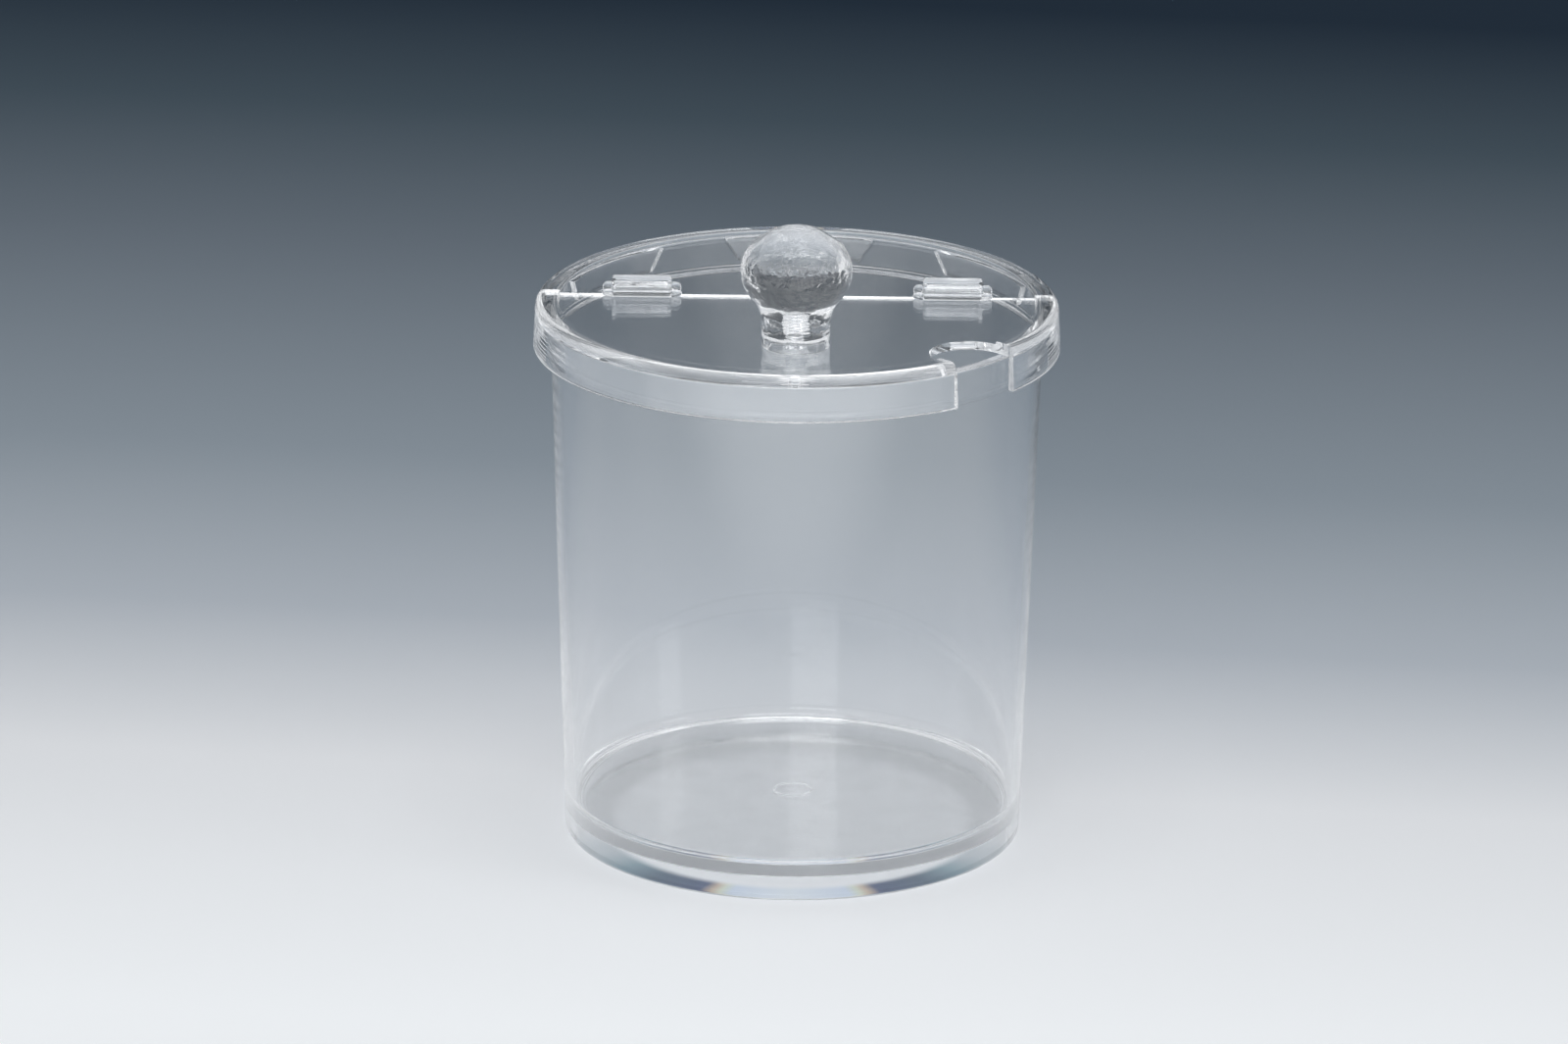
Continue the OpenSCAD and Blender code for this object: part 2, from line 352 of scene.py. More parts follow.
class Profile:
    """A closed outline in the plane of radius and height, for turning."""

    arc_step = math.radians(9)

    def __init__(self, *corners: Corner) -> None:
        """Rounds the corners and keeps the points in order."""
        self.points: list[Point] = []
        for i, corner in enumerate(corners):
            self.points += self._rounded(corners[i - 1], corner, corners[(i + 1) % len(corners)])

    def _rounded(self, before: Corner, corner: Corner, after: Corner) -> list[Point]:
        """Points of one corner: itself where it is sharp, else an arc that meets both its sides.

        Args:
            before: The corner before it.
            corner: The corner.
            after: The corner after it.

        Returns:
            The points, in order.
        """
        tip = Vector((corner.r, corner.z))
        if not corner.radius:
            return [tuple(tip)]
        back = (Vector((before.r, before.z)) - tip).normalized()
        ahead = (Vector((after.r, after.z)) - tip).normalized()
        half = back.angle(ahead) / 2
        centre = tip + (back + ahead).normalized() * corner.radius / math.sin(half)
        start = tip + back * corner.radius / math.tan(half) - centre
        turn = start.angle_signed(tip + ahead * corner.radius / math.tan(half) - centre)
        count = max(2, math.ceil(abs(turn) / self.arc_step))
        return [tuple(centre + Matrix.Rotation(-turn * i / count, 2) @ start) for i in range(count + 1)]


class Workshop:
    """The few ways in which every mesh here is made."""

    fine = 256
    on_axis = 1e-6
    sharp_from = 32.0
    normal_weight = 60

    @staticmethod
    def linked(name: str, data: bpy.types.ID) -> bpy.types.Object:
        """Makes an object of a mesh, a lamp or a camera and links it to the scene."""
        made = bpy.data.objects.new(name, data)
        bpy.context.scene.collection.objects.link(made)
        return made

    @classmethod
    def piece(cls, name: str, points: np.ndarray, faces: list[tuple[int, ...]]) -> bpy.types.Object:
        """Makes an object from points in millimetres.

        Args:
            name: The object's name.
            points: Its points, one to a row.
            faces: Its faces, as numbers of points.

        Returns:
            The object, linked to the scene, with its faces turned outward.
        """
        mesh = bpy.data.meshes.new(name)
        mesh.from_pydata((np.asarray(points, float) * MM).tolist(), [], faces)
        shape = bmesh.new()
        shape.from_mesh(mesh)
        bmesh.ops.recalc_face_normals(shape, faces=shape.faces)
        shape.to_mesh(mesh)
        shape.free()
        return cls.linked(name, mesh)

    @classmethod
    def turned(cls, name: str, outline: list[Point], steps: int | None = None) -> bpy.types.Object:
        """Turns a closed outline about the upright axis.

        Args:
            name: The object's name.
            outline: Radius and height of each point, in millimetres.
            steps: How many steps make a full turn.

        Returns:
            The turned object.
        """
        steps = steps or cls.fine
        angles = np.arange(steps) * 2 * math.pi / steps
        ring = np.column_stack([np.cos(angles), np.sin(angles)])
        points: list[list[float]] = []
        rows: list[list[int]] = []
        for r, z in outline:
            first = len(points)
            if r < cls.on_axis:
                points.append([0.0, 0.0, z])
                rows.append([first] * steps)
            else:
                points += [[r * x, r * y, z] for x, y in ring]
                rows.append(list(range(first, first + steps)))
        faces = []
        for low, high in zip(rows, rows[1:] + rows[:1]):
            for i in range(steps):
                j = (i + 1) % steps
                face = tuple(dict.fromkeys((low[i], low[j], high[j], high[i])))
                if len(face) > 2:
                    faces.append(face)
        return cls.piece(name, np.array(points), faces)

    @classmethod
    def swept(cls, name: str, outline: list[Point], low: float, high: float) -> bpy.types.Object:
        """Stands a closed flat outline up between two heights.

        Args:
            name: The object's name.
            outline: The outline's points in X and Y, in millimetres.
            low: The lower height.
            high: The upper height.

        Returns:
            The upright prism.
        """
        count = len(outline)
        points = [[x, y, z] for z in (low, high) for x, y in outline]
        faces = [tuple(range(count)), tuple(range(count, 2 * count))]
        faces += [(i, (i + 1) % count, (i + 1) % count + count, i + count) for i in range(count)]
        return cls.piece(name, np.array(points), faces)

    @classmethod
    def block(cls, name: str, low: tuple, high: tuple) -> bpy.types.Object:
        """A box between two corners, used only to carve with or to join on."""
        outline = [(low[0], low[1]), (high[0], low[1]), (high[0], high[1]), (low[0], high[1])]
        return cls.swept(name, outline, low[2], high[2])

    @staticmethod
    def moved(made: bpy.types.Object, matrix: Matrix) -> bpy.types.Object:
        """Moves an object's mesh, with the move in millimetres, and leaves the object at the origin."""
        matrix = matrix.copy()
        matrix.translation = matrix.translation * MM
        made.data.transform(matrix)
        if matrix.determinant() < 0:
            made.data.flip_normals()
        return made

    @classmethod
    def round_bar(cls, name: str, radius: float, length: float, edge: float = 0.0,
                  steps: int = 96) -> bpy.types.Object:
        """A round bar along X, centred on the origin.

        Args:
            name: The object's name.
            radius: The bar's radius.
            length: Its length.
            edge: The radius of its rounded ends.
            steps: How many steps make a full turn.

        Returns:
            The bar.
        """
        half = length / 2
        outline = Profile(Corner(0, -half), Corner(radius, -half, edge),
                          Corner(radius, half, edge), Corner(0, half)).points
        return cls.moved(cls.turned(name, outline, steps), Matrix.Rotation(math.pi / 2, 4, "Y"))

    @classmethod
    def ball(cls, name: str, radius: float, steps: int = 64) -> bpy.types.Object:
        """A ball at the origin."""
        rows = steps // 2
        outline = [(radius * math.sin(math.pi * i / rows), -radius * math.cos(math.pi * i / rows))
                   for i in range(rows + 1)]
        outline[0], outline[-1] = (0.0, -radius), (0.0, radius)
        return cls.turned(name, outline, steps)

    @staticmethod
    def settle(made: bpy.types.Object) -> None:
        """Makes an object's modifiers part of its mesh."""
        bpy.context.view_layer.update()
        shaped = made.evaluated_get(bpy.context.evaluated_depsgraph_get())
        mesh = bpy.data.meshes.new_from_object(shaped)
        old = made.data
        made.modifiers.clear()
        made.data = mesh
        bpy.data.meshes.remove(old)

    @classmethod
    def carve(cls, made: bpy.types.Object, how: Cut, *tools: bpy.types.Object) -> None:
        """Joins tools to an object or cuts it with them, and uses them up.

        Args:
            made: The object.
            how: What the tools do.
            tools: Closed objects.
        """
        for tool in tools:
            step = made.modifiers.new(tool.name, "BOOLEAN")
            step.operation = how.value
            step.solver = "EXACT"
            step.object = tool
            cls.settle(made)
            mesh = tool.data
            bpy.data.objects.remove(tool)
            bpy.data.meshes.remove(mesh)

    @classmethod
    def soften(cls, made: bpy.types.Object, width: float, above: float = 40.0) -> None:
        """Rounds an object's sharp edges a little.

        Args:
            made: The object.
            width: The width of the rounding, in millimetres.
            above: The least angle that counts as sharp, in degrees.
        """
        bevel = made.modifiers.new("edges", "BEVEL")
        bevel.width = width * MM
        bevel.segments = 2
        bevel.limit_method = "ANGLE"
        bevel.angle_limit = math.radians(above)
        bevel.use_clamp_overlap = True
        cls.settle(made)

    @classmethod
    def hand_over(cls, made: bpy.types.Object, material: bpy.types.Material, body: str,
                  slot: str, node: str) -> bpy.types.Object:
        """Smooths and dresses a finished piece and says what it stands for.

        Args:
            made: The piece.
            material: Its material.
            body: The body that it rides on.
            slot: The name of a material slot, which is not used.
            node: The CAD node that it replaces.

        Returns:
            The same piece.
        """
        mesh = made.data
        mesh.materials.clear()
        mesh.materials.append(material)
        mesh.shade_smooth()
        mesh.set_sharp_from_angle(angle=math.radians(cls.sharp_from))
        weighted = made.modifiers.new("normals", "WEIGHTED_NORMAL")
        weighted.keep_sharp = True
        weighted.weight = cls.normal_weight
        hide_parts(node)
        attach(made, body)
        LOG.info("%s: %d faces, rides on %s, stands for %s", made.name, len(mesh.polygons), body, node)
        return made


@dataclass
class Jar:
    """The jar: collar, tapered wall, floor and hollow foot, in millimetres."""

    rim_z: float = 136.0
    rim_r: float = 63.6
    rim_in_r: float = 60.57
    collar_z: float = 127.2
    body_z: float = 126.5
    body_r: float = 61.5
    foot_r: float = 57.7
    foot_h: float = 5.9
    foot_in_r: float = 54.3
    floor_z: float = 8.6
    floor_r: float = 55.5
    floor_fillet: float = 3.0
    ring_r: float = 4.5
    ring_w: float = 0.4
    rest_gap: float = 0.04
    foot_round: float = 1.2
    foot_in_round: float = 0.3
    hollow_fillet: float = 0.4
    neck_round: float = 0.3
    collar_round: float = 0.2
    rim_round: float = 0.6
    ring_round: float = 0.1
    finish: ClearPlastic = ClearPlastic("jar_plastic", frost=0.22)

    def build(self) -> bpy.types.Object:
        """Turns the jar.

        Returns:
            The jar.
        """
        rim = self.rim_z - self.rest_gap
        ring_out_r, ring_z = self.ring_r + self.ring_w, self.floor_z + self.ring_w
        outline = Profile(
            Corner(0, self.foot_h), Corner(self.foot_in_r, self.foot_h, self.hollow_fillet),
            Corner(self.foot_in_r, 0, self.foot_in_round), Corner(self.foot_r, 0, self.foot_round),
            Corner(self.body_r, self.body_z, self.neck_round),
            Corner(self.rim_r, self.collar_z, self.collar_round),
            Corner(self.rim_r, rim, self.rim_round), Corner(self.rim_in_r, rim, self.rim_round),
            Corner(self.floor_r, self.floor_z, self.floor_fillet),
            Corner(ring_out_r, self.floor_z, self.ring_round),
            Corner(ring_out_r, ring_z, self.ring_round), Corner(self.ring_r, ring_z, self.ring_round),
            Corner(self.ring_r, self.floor_z, self.ring_round), Corner(0, self.floor_z))
        made = Workshop.turned("clear_jar", outline.points)
        return Workshop.hand_over(made, self.finish.material(), "jar", "clear_plastic", "jar")


@dataclass
class Lid:
    """What both halves of the lid share: plate, raised border, skirt and hinge line."""

    plate_z: float = 136.0
    plate_t: float = 2.2
    border_h: float = 0.8
    border_in_r: float = 59.7
    skirt_in_r: float = 64.1
    skirt_r: float = 66.0
    top_r: float = 65.4
    skirt_z: float = 127.3
    edge: float = 2.3
    split_y: float = 5.5
    half_gap: float = 0.15
    hinge_x: float = 38.9
    axis_z: float = 140.0
    barrel_r: float = 3.15
    barrel_len: float = 14.9
    pin_r: float = 1.0
    end_clear: float = 0.15
    soft_edge: float = 0.1
    plate_fillet: float = 0.3
    skirt_in_round: float = 0.25
    skirt_round: float = 0.3
    border_round: float = 0.35
    border_fillet: float = 0.2
    cut_reach: float = 80.0
    cut_low: float = 100.0
    cut_high: float = 160.0

    @property
    def top_z(self) -> float:
        """Height of the plate's upper face."""
        return self.plate_z + self.plate_t

    def half(self, name: str, side: Half) -> bpy.types.Object:
        """Makes one half of the plate, border and skirt.

        Args:
            name: The object's name.
            side: Which half.

        Returns:
            The half, closed along the split.
        """
        top = self.top_z + self.border_h
        outline = Profile(
            Corner(0, self.plate_z), Corner(self.skirt_in_r, self.plate_z, self.plate_fillet),
            Corner(self.skirt_in_r, self.skirt_z, self.skirt_in_round),
            Corner(self.skirt_r, self.skirt_z, self.skirt_round),
            Corner(self.top_r, top, self.edge), Corner(self.border_in_r, top, self.border_round),
            Corner(self.border_in_r, self.top_z, self.border_fillet), Corner(0, self.top_z))
        made = Workshop.turned(name, outline.points)
        reach = self.cut_reach
        low, high = sorted((self.split_y + side.value * self.half_gap, side.value * reach))
        Workshop.carve(made, Cut.KEEP, Workshop.block(
            "half", (-reach, low, self.cut_low), (reach, high, self.cut_high)))
        return made

    def at_hinges(self, *pieces: bpy.types.Object) -> list[bpy.types.Object]:
        """Puts a copy of each piece at each hinge, mirrored at the left one, and uses the pieces up.

        Args:
            pieces: Pieces made round the right hinge's centre.

        Returns:
            The placed copies.
        """
        placed = []
        for piece in pieces:
            for side in (1, -1):
                copy = Workshop.linked(piece.name, piece.data.copy())
                spot = Matrix.Translation((side * self.hinge_x, self.split_y, self.axis_z))
                placed.append(Workshop.moved(copy, spot @ Matrix.Diagonal((side, 1, 1, 1))))
            bpy.data.objects.remove(piece)
        return placed


@dataclass
class RearLid:
    """The fixed rear half: locating lugs and the two slit clip barrels."""

    lid: Lid
    finish: ClearPlastic = ClearPlastic("rear_lid_plastic")
    bore_r: float = 1.08
    barrel_edge: float = 0.7
    web_x: float = 6.75
    web_low: float = -4.0
    web_top: float = -1.2
    web_inset: float = 0.05
    slit_w: float = 0.35
    slit_angle: float = 40.0
    slit_end_d: float = 1.1
    slit_end_x: float = 7.0
    slit_reach: float = 20.0
    cut_past: float = 1.0
    lug_out_r: float = 60.07
    lug_in_r: float = 58.47
    lug_z: float = 130.2
    lug_w: float = 38.0
    lug_tip_w: float = 31.0
    lug_step: float = 54.8
    lug_root: float = 0.3
    lug_tip_h: float = 0.8
    lug_tip_thin: float = 0.25
    lug_arc_steps: int = 28
    pip_r: float = 0.42
    pip_taper: float = 0.85
    pip_round: float = 0.15
    pip_back: float = 2.6
    pip_in: float = 2.5
    pip_low: float = 1.2
    pip_top: float = 3.1
    pip_steps: int = 24
    bore_steps: int = 64
    slit_end_steps: int = 40

    def _lug(self, number: int) -> bpy.types.Object:
        """One tapered lug that follows the inside of the rim.

        Args:
            number: Which of the lugs, from -1 to 1.

        Returns:
            The lug.
        """
        steps, tip = self.lug_arc_steps, self.lug_tip_h
        points = []
        for z, width, thin in (
                (self.lug_z, self.lug_tip_w, self.lug_tip_thin),
                (self.lug_z + tip, self.lug_tip_w + tip, 0.0),
                (self.lid.plate_z + self.lug_root, self.lug_w, 0.0)):
            for radius in (self.lug_out_r - thin, self.lug_in_r + thin):
                half = math.asin(width / 2 / radius)
                for i in range(steps + 1):
                    angle = math.pi / 2 + half * (1 - 2 * i / steps)
                    points.append((radius * math.cos(angle), radius * math.sin(angle), z))
        row = steps + 1
        faces = []
        for level in range(2):
            out, into = 2 * level * row, (2 * level + 1) * row
            for i in range(steps):
                faces.append((out + i, out + i + 1, out + i + 1 + 2 * row, out + i + 2 * row))
                faces.append((into + i, into + i + 1, into + i + 1 + 2 * row, into + i + 2 * row))
            for i in (0, steps):
                faces.append((out + i, into + i, into + i + 2 * row, out + i + 2 * row))
        for base in (0, 4 * row):
            faces += [(base + i, base + i + 1, base + row + i + 1, base + row + i) for i in range(steps)]
        made = Workshop.piece("lug", np.array(points), faces)
        return Workshop.moved(made, Matrix.Rotation(math.radians(number * self.lug_step), 4, "Z"))

    def _clips(self, made: bpy.types.Object) -> None:
        """Joins the barrels, their webs and gate pips to the plate and cuts bores and slits.

        Args:
            made: The rear half's plate, border and skirt.
        """
        lid = self.lid
        web = Workshop.block("web", (-self.web_x, lid.half_gap, self.web_low),
                             (self.web_x, lid.barrel_r - self.web_inset, self.web_top))
        barrel = Workshop.round_bar("barrel", lid.barrel_r, lid.barrel_len, self.barrel_edge)
        pip = Workshop.turned("pip", Profile(
            Corner(0, self.pip_low), Corner(self.pip_r, self.pip_low),
            Corner(self.pip_r * self.pip_taper, self.pip_top, self.pip_round),
            Corner(0, self.pip_top)).points, self.pip_steps)
        Workshop.moved(pip, Matrix.Translation((-self.pip_in, self.pip_back, 0)))
        Workshop.carve(made, Cut.ADD, *lid.at_hinges(web, barrel, pip))
        reach = lid.barrel_r + self.cut_past
        slit = Workshop.block("slit", (-self.slit_reach, -reach, -self.slit_w / 2),
                              (self.slit_reach, 0, self.slit_w / 2))
        tilt = Matrix.Rotation(math.radians(-self.slit_angle), 4, "X")
        bore = Workshop.round_bar("bore", self.bore_r, lid.barrel_len + 2 * self.cut_past,
                                  steps=self.bore_steps)
        tools = [bore, Workshop.moved(slit, tilt)]
        for side in (-1, 1):
            corner = Workshop.turned("slit_end", [
                (0, 0), (self.slit_end_d / 2, 0), (self.slit_end_d / 2, reach), (0, reach)],
                self.slit_end_steps)
            upright = Matrix.Rotation(math.pi / 2, 4, "X")
            spot = Matrix.Translation((side * self.slit_end_x, 0, 0))
            tools.append(Workshop.moved(corner, tilt @ spot @ upright))
        Workshop.carve(made, Cut.REMOVE, *lid.at_hinges(*tools))

    def build(self) -> bpy.types.Object:
        """Makes the rear half.

        Returns:
            The rear half of the lid.
        """
        made = self.lid.half("clear_rear_lid", Half.REAR)
        Workshop.soften(made, self.lid.soft_edge)
        Workshop.carve(made, Cut.ADD, *(self._lug(number) for number in (-1, 0, 1)))
        self._clips(made)
        return Workshop.hand_over(made, self.finish.material(), "jar", "clear_plastic", "rear_lid")


@dataclass
class Thread:
    """The screw thread of the stud and of the knob's bore, in millimetres."""

    crest_r: float = 2.4
    depth: float = 0.32
    pitch: float = 1.0
    turns_from: float = 4.2
    turns_to: float = 11.2
    end_fade: float = 0.5
    flank: float = 2.6
    crest_flat: float = 0.15
    steps: int = 72
    rows_a_turn: int = 10

    def post(self, name: str, low: float, high: float, grow: float, cone: float) -> bpy.types.Object:
        """A threaded post on the origin's upright axis.

        Args:
            name: The object's name.
            low: Height of its lower end.
            high: Height of its upper end.
            grow: How much wider than the stud it is all round.
            cone: Height of the cone on its end.

        Returns:
            The post.
        """
        turned = np.arange(self.turns_from, self.turns_to, self.pitch / self.rows_a_turn)
        rows = [low, *turned, high]
        points = [[0.0, 0.0, low]]
        for z in rows:
            fade = min(1.0, max(0.0, min(z - self.turns_from, self.turns_to - z) / self.end_fade))
            for i in range(self.steps):
                angle = 2 * math.pi * i / self.steps
                wave = (z / self.pitch - i / self.steps) % 1.0
                sunk = min(1.0, max(0.0, self.flank * abs(wave - 0.5) - self.crest_flat))
                radius = self.crest_r + grow - self.depth * fade * sunk
                points.append([radius * math.cos(angle), radius * math.sin(angle), z])
        points.append([0.0, 0.0, high + cone])
        faces, last = [], len(points) - 1
        for i in range(self.steps):
            j = (i + 1) % self.steps
            faces.append((0, 1 + i, 1 + j))
            faces.append((last, last - self.steps + i, last - self.steps + j))
            for row in range(len(rows) - 1):
                base = 1 + row * self.steps
                faces.append((base + i, base + j, base + j + self.steps, base + i + self.steps))
        return Workshop.piece(name, np.array(points), faces)


@dataclass
class FrontFlap:
    """The hinged front half: notch, reliefs, pins and ears, and the knob's stud."""

    lid: Lid
    thread: Thread
    finish: ClearPlastic = ClearPlastic("flap_plastic")
    notch_w: float = 20.0
    notch_depth: float = 16.5
    notch_turn: float = -44.0
    notch_reach: float = 40.0
    notch_below: float = 5.0
    notch_above: float = 10.0
    notch_arc_steps: int = 60
    relief_r: float = 3.4
    ear_r: float = 1.4
    ear_len: float = 2.3
    ear_in_round: float = 0.2
    ear_dome: float = 0.98
    foot_r: float = 2.4
    foot_reach: float = 8.0
    hinge_rise: float = 1.8
    knob_y: float = -37.0
    boss_r: float = 3.0
    boss_h: float = 3.35
    boss_round: float = 0.3
    stud_h: float = 11.8
    stud_tip: float = 0.4
    core_r: float = 1.5
    core_h: float = 6.0
    core_round: float = 0.4
    cut_past: float = 1.0
    pin_steps: int = 64
    boss_steps: int = 96

    def _notch(self) -> bpy.types.Object:
        """The tool that cuts the spoon notch.

        Returns:
            A slot with a round inner end.
        """
        half, steps = self.notch_w / 2, self.notch_arc_steps
        centre = self.lid.skirt_r - self.notch_depth + half
        outline = [(centre + self.notch_reach, -half), (centre + self.notch_reach, half)]
        outline += [(centre - half * math.sin(math.pi * i / steps), half * math.cos(math.pi * i / steps))
                    for i in range(steps + 1)]
        made = Workshop.swept("notch", outline, self.lid.skirt_z - self.notch_below,
                              self.lid.axis_z + self.notch_above)
        return Workshop.moved(made, Matrix.Rotation(math.radians(self.notch_turn), 4, "Z"))

    def _ear(self) -> bpy.types.Object:
        """One ear, outside the right hinge's right end, with its share of the pin.

        Returns:
            The ear, round the hinge's centre.
        """
        start = self.lid.barrel_len / 2 + self.lid.end_clear
        outline = Profile(Corner(0, start), Corner(self.ear_r, start, self.ear_in_round),
                          Corner(self.ear_r, start + self.ear_len, self.ear_r * self.ear_dome),
                          Corner(0, start + self.ear_len)).points
        ear = Workshop.turned("ear", outline, self.pin_steps)
        Workshop.moved(ear, Matrix.Rotation(math.pi / 2, 4, "Y"))
        foot = Workshop.ball("foot", self.foot_r)
        Workshop.moved(foot, Matrix.Translation((start, -self.lid.half_gap, -self.hinge_rise)))
        low, reach = -self.hinge_rise - self.lid.plate_t / 2, self.foot_reach
        Workshop.carve(foot, Cut.KEEP, Workshop.block(
            "keep", (start, -reach, low), (start + reach, -self.lid.half_gap, reach)))
        Workshop.carve(ear, Cut.ADD, foot)
        return ear

    def _stud(self) -> tuple[bpy.types.Object, bpy.types.Object]:
        """The boss under the knob and the threaded stud.

        Returns:
            The boss and the stud, in place.
        """
        sink = self.lid.plate_t / 2
        boss = Workshop.turned("boss", Profile(
            Corner(0, -sink), Corner(self.boss_r, -sink),
            Corner(self.boss_r, self.boss_h, self.boss_round),
            Corner(0, self.boss_h)).points, self.boss_steps)
        stud = self.thread.post("stud", -sink / 2, self.stud_h - self.stud_tip, 0.0, self.stud_tip)
        spot = Matrix.Translation((0, self.knob_y, self.lid.top_z))
        return Workshop.moved(boss, spot), Workshop.moved(stud, spot)

    def build(self) -> bpy.types.Object:
        """Makes the flap.

        Returns:
            The front flap.
        """
        lid = self.lid
        made = lid.half("clear_flap", Half.FRONT)
        Workshop.carve(made, Cut.REMOVE, self._notch())
        Workshop.soften(made, lid.soft_edge)
        ear_x = lid.barrel_len / 2 + lid.end_clear
        relief = Workshop.round_bar("relief", self.relief_r, 2 * ear_x)
        Workshop.carve(made, Cut.REMOVE, *lid.at_hinges(relief))
        right = self._ear()
        left = Workshop.moved(Workshop.linked("ear", right.data.copy()), Matrix.Diagonal((-1, 1, 1, 1)))
        pin = Workshop.round_bar("pin", lid.pin_r, 2 * ear_x + self.ear_len, steps=self.pin_steps)
        Workshop.carve(made, Cut.ADD, *lid.at_hinges(right, left, pin), *self._stud())
        core = Workshop.turned("core", Profile(
            Corner(0, -self.cut_past), Corner(self.core_r, -self.cut_past),
            Corner(self.core_r, self.core_h, self.core_round),
            Corner(0, self.core_h)).points, self.pin_steps)
        spot = Matrix.Translation((0, self.knob_y, lid.plate_z))
        Workshop.carve(made, Cut.REMOVE, Workshop.moved(core, spot))
        return Workshop.hand_over(made, self.finish.material(), "flap", "clear_plastic", "front_flap")


@dataclass
class Knob:
    """The solid ball knob with its two rows of facets and its threaded bore."""

    lid: Lid
    thread: Thread
    finish: ClearPlastic = ClearPlastic(
        "knob_clear", wave_depth=0.0013, wave_scale=130.0, wrinkle_depth=0.0007, wrinkle_above=0.156)
    forward: float = 37.0
    belly_h: float = 19.4
    crown_h: float = 11.1
    round_r: float = 10.0
    belly_r: float = 13.75
    stem_r: float = 8.5
    flare_h: float = 5.7
    base_edge: float = 0.6
    hollow_r: float = 7.3
    hollow_h: float = 3.4
    hollow_edge: float = 1.2
    bore_h: float = 12.5
    bore_tip: float = 1.2
    clear: float = 0.05
    rest_gap: float = 0.04
    facets: int = 9
    facet_cut: float = 0.6
    crown_tilt: float = 57.0
    girdle_tilt: float = 33.0
    facet_turn: float = 20.0
    arc_steps: int = 14
    round_steps: int = 192
    hollow_steps: int = 128
    cut_past: float = 1.0
    slice_near: float = 1e-7

    @property
    def round_x(self) -> float:
        """Distance of the belly arc's centre from the axis."""
        return self.belly_r - self.round_r

    @property
    def crown_r(self) -> float:
        """Radius of the crown."""
        return (self.round_x ** 2 + self.crown_h ** 2 - self.round_r ** 2) / (
            2 * (self.crown_h - self.round_r))

    def _outline(self) -> list[Point]:
        """Radius and height along the knob's outside, from its base to its crown.

        Returns:
            The points.
        """
        out, up = self.belly_r - self.stem_r, self.belly_h - self.flare_h
        flare_r = (out ** 2 + up ** 2) / (4 * out)
        sweep = math.asin(up / 2 / flare_r)
        steps = self.arc_steps
        points = Profile(Corner(0, 0), Corner(self.stem_r, 0, self.base_edge),
                         Corner(self.stem_r, self.flare_h)).points
        for i in range(1, steps + 1):
            angle = sweep * i / steps
            points.append((self.stem_r + flare_r * (1 - math.cos(angle)),
                           self.flare_h + flare_r * math.sin(angle)))
        for i in range(steps - 1, -1, -1):
            angle = sweep * i / steps
            points.append((self.belly_r - flare_r * (1 - math.cos(angle)),
                           self.belly_h - flare_r * math.sin(angle)))
        centre = self.crown_h - self.crown_r
        change = math.atan2(-centre, self.round_x)
        for i in range(1, steps + 1):
            angle = change * i / steps
            points.append((self.round_x + self.round_r * math.cos(angle),
                           self.belly_h + self.round_r * math.sin(angle)))
        for i in range(1, steps + 1):
            angle = change + (math.pi / 2 - change) * i / steps
            points.append((self.crown_r * math.cos(angle),
                           self.belly_h + centre + self.crown_r * math.sin(angle)))
        points[-1] = (0.0, self.belly_h + self.crown_h)
        return points

    def _facet_reach(self, tilt: float) -> float:
        """Distance from the belly's centre to the round form along a facet's normal.

        Args:
            tilt: How far the normal points up, in degrees.

        Returns:
            The distance.
        """
        angle = math.radians(tilt)
        low = self.crown_r - self.crown_h
        if angle < math.atan2(low, self.round_x):
            return self.round_x * math.cos(angle) + self.round_r
        return self.crown_r - low * math.sin(angle)

    def _cut_facets(self, shape: bmesh.types.BMesh, tilt: float, turn: float) -> None:
        """Slices one row of flat facets.

        Args:
            shape: The knob, standing on the origin.
            tilt: How far the facets' normals point up, in degrees.
            turn: Where the row starts, in degrees.
        """
        up = math.radians(tilt)
        for i in range(self.facets):
            around = math.radians(turn + i * 360 / self.facets)
            normal = Vector((math.cos(up) * math.cos(around), math.cos(up) * math.sin(around), math.sin(up)))
            point = normal * (self._facet_reach(tilt) - self.facet_cut) + Vector((0, 0, self.belly_h))
            bmesh.ops.bisect_plane(
                shape, geom=shape.verts[:] + shape.edges[:] + shape.faces[:], dist=self.slice_near,
                plane_co=point * MM, plane_no=normal, clear_outer=True)
            open_edges = [edge for edge in shape.edges if edge.is_boundary]
            bmesh.ops.holes_fill(shape, edges=open_edges, sides=0)

    def build(self) -> bpy.types.Object:
        """Makes the knob.

        Returns:
            The knob.
        """
        made = Workshop.turned("clear_knob", self._outline(), self.round_steps)
        shape = bmesh.new()
        shape.from_mesh(made.data)
        self._cut_facets(shape, self.crown_tilt, self.facet_turn)
        self._cut_facets(shape, self.girdle_tilt, self.facet_turn + 180 / self.facets)
        bmesh.ops.recalc_face_normals(shape, faces=shape.faces)
        shape.to_mesh(made.data)
        shape.free()
        hollow = Workshop.turned("hollow", Profile(
            Corner(0, -self.cut_past), Corner(self.hollow_r, -self.cut_past),
            Corner(self.hollow_r, self.hollow_h, self.hollow_edge),
            Corner(0, self.hollow_h)).points, self.hollow_steps)
        bore = self.thread.post("bore", self.hollow_h - self.cut_past, self.bore_h, self.clear,
                                self.bore_tip)
        Workshop.carve(made, Cut.REMOVE, hollow, bore)
        spot = Matrix.Translation((0, -self.forward, self.lid.top_z + self.rest_gap))
        Workshop.moved(made, spot)
        return Workshop.hand_over(made, self.finish.material(), "flap", "knob_plastic", "knob")


